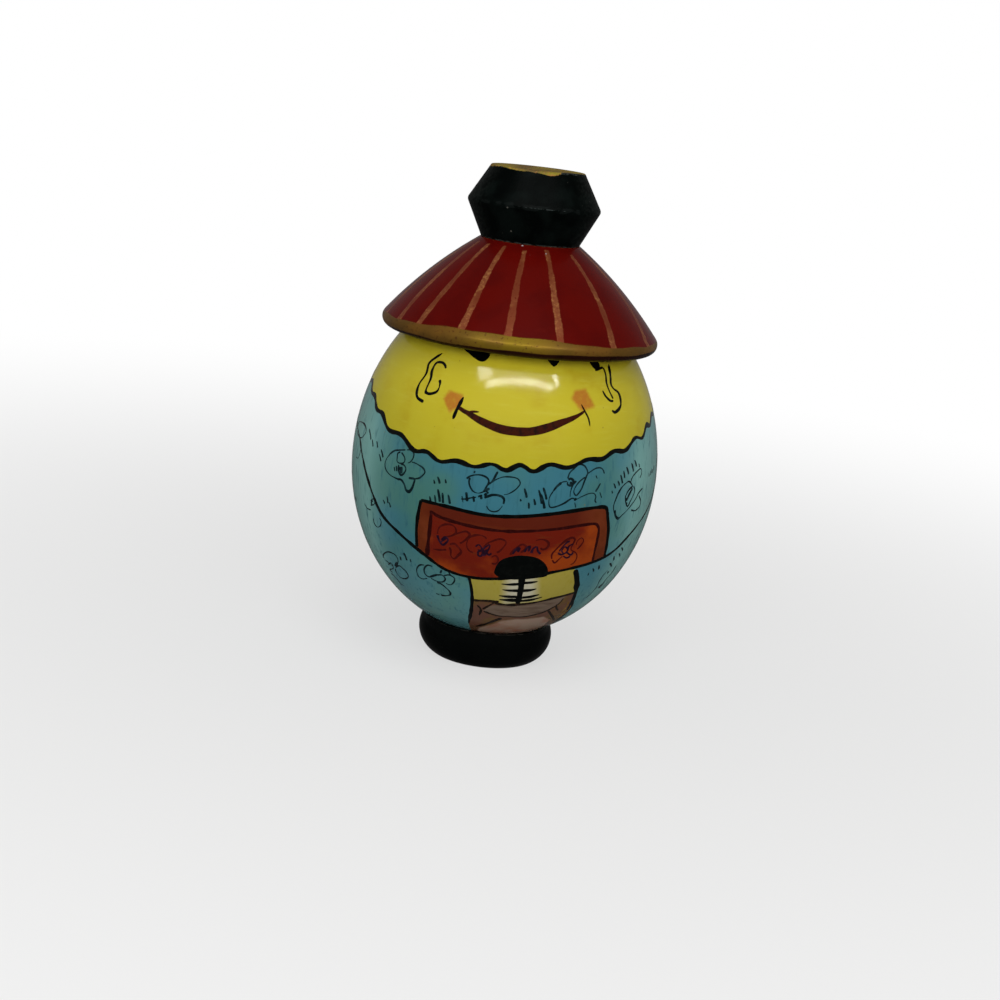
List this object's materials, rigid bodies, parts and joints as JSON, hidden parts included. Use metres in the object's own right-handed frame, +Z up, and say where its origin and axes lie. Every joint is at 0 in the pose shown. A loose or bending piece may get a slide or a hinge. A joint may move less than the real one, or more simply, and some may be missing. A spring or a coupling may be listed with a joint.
{
  "type": "painted wooden egg doll",
  "caption": "Turned wooden egg painted as a smiling figure in a patterned robe, standing in a black ring, under a wide conical hat with a knob.",
  "frame": {"origin": "centre of the ring's underside, on the floor", "axes": "+Z up along the common turning axis, the painted face towards -Y"},
  "size_m": [0.057, 0.057, 0.0918],
  "materials": {
    "stand_black": "turned wood, black paint under clear gloss lacquer",
    "egg_paint": "turned wood, hand painted in blue and yellow under clear gloss lacquer",
    "bare_wood": "bare dowel, sanded",
    "hat_red": "turned wood, dark red with gold stripes and a gold edge under clear gloss lacquer",
    "knob_black": "turned wood, black paint with a gold top, half gloss"
  },
  "bodies": {
    "stand": {"stand_ring": "stand_black"},
    "egg": {"egg": "egg_paint"},
    "peg": {"hat_peg": "bare_wood"},
    "hat": {"hat": "hat_red", "knob": "knob_black"}
  },
  "joints": [
    {"name": "egg_lift", "type": "slide", "parent": "stand", "child": "egg", "axis": [0, 0, 1], "range_m": [0, 0.02]},
    {"name": "hat_turn", "type": "hinge", "parent": "egg", "child": "peg", "pos_m": [0, 0, 0.065], "axis": [0, 0, 1], "continuous": true},
    {"name": "hat_lift", "type": "slide", "parent": "peg", "child": "hat", "axis": [0, 0, 1], "range_m": [0, 0.03]}
  ]
}
